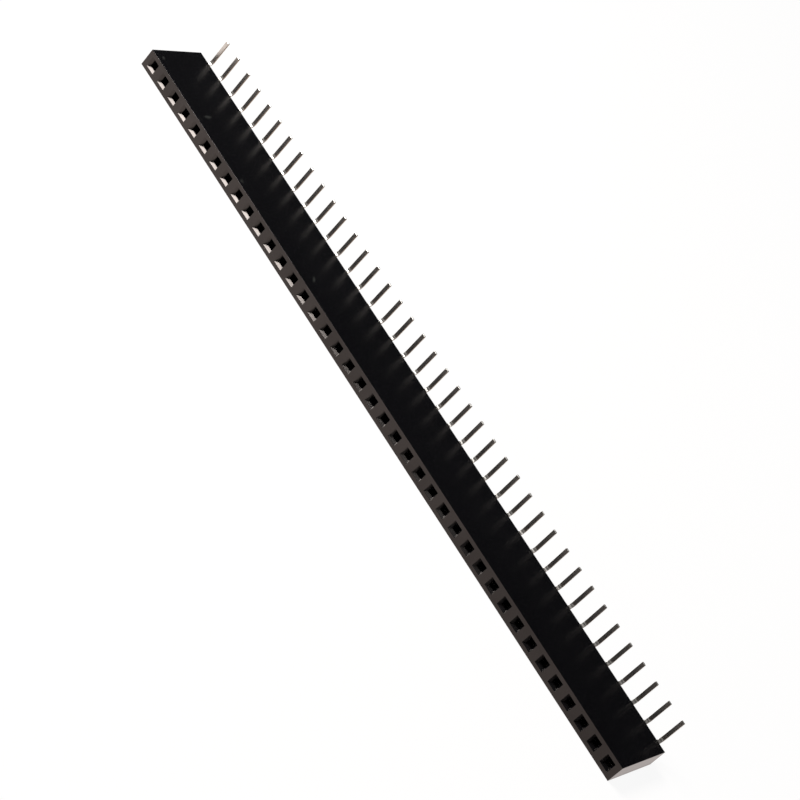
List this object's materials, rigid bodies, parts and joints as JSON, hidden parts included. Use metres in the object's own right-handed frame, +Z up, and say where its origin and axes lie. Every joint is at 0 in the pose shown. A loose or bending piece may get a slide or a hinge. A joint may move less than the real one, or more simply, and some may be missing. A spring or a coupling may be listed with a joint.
{
  "type": "right-angle female pin header strip",
  "caption": "Right-angle female pin header: a black moulded strip with a row of sockets, each holding a sprung tin-plated contact whose tail turns up into a solder leg.",
  "frame": {"origin": "centre of the flat face the strip lies on", "axes": "+X along the row, +Y from the socket mouths to the rear face where the tails leave, +Z up from the rest face to the board face, the way the solder legs point"},
  "size_m": [0.102, 0.0098, 0.0059],
  "materials": {
    "housing_plastic": "black glass-filled polyester, moulded, with a slight sheen",
    "contact_tin": "tin plate over phosphor bronze sheet, stamped and bent"
  },
  "bodies": {
    "root": {"housing": "housing_plastic", "contact_01": "contact_tin", "contact_02": "contact_tin", "contact_03": "contact_tin", "contact_04": "contact_tin", "contact_05": "contact_tin", "contact_06": "contact_tin", "contact_07": "contact_tin", "contact_08": "contact_tin", "contact_09": "contact_tin", "contact_10": "contact_tin", "contact_11": "contact_tin", "contact_12": "contact_tin", "contact_13": "contact_tin", "contact_14": "contact_tin", "contact_15": "contact_tin", "contact_16": "contact_tin", "contact_17": "contact_tin", "contact_18": "contact_tin", "contact_19": "contact_tin", "contact_20": "contact_tin", "contact_21": "contact_tin", "contact_22": "contact_tin", "contact_23": "contact_tin", "contact_24": "contact_tin", "contact_25": "contact_tin", "contact_26": "contact_tin", "contact_27": "contact_tin", "contact_28": "contact_tin", "contact_29": "contact_tin", "contact_30": "contact_tin", "contact_31": "contact_tin", "contact_32": "contact_tin", "contact_33": "contact_tin", "contact_34": "contact_tin", "contact_35": "contact_tin", "contact_36": "contact_tin", "contact_37": "contact_tin", "contact_38": "contact_tin", "contact_39": "contact_tin", "contact_40": "contact_tin"}
  },
  "joints": []
}
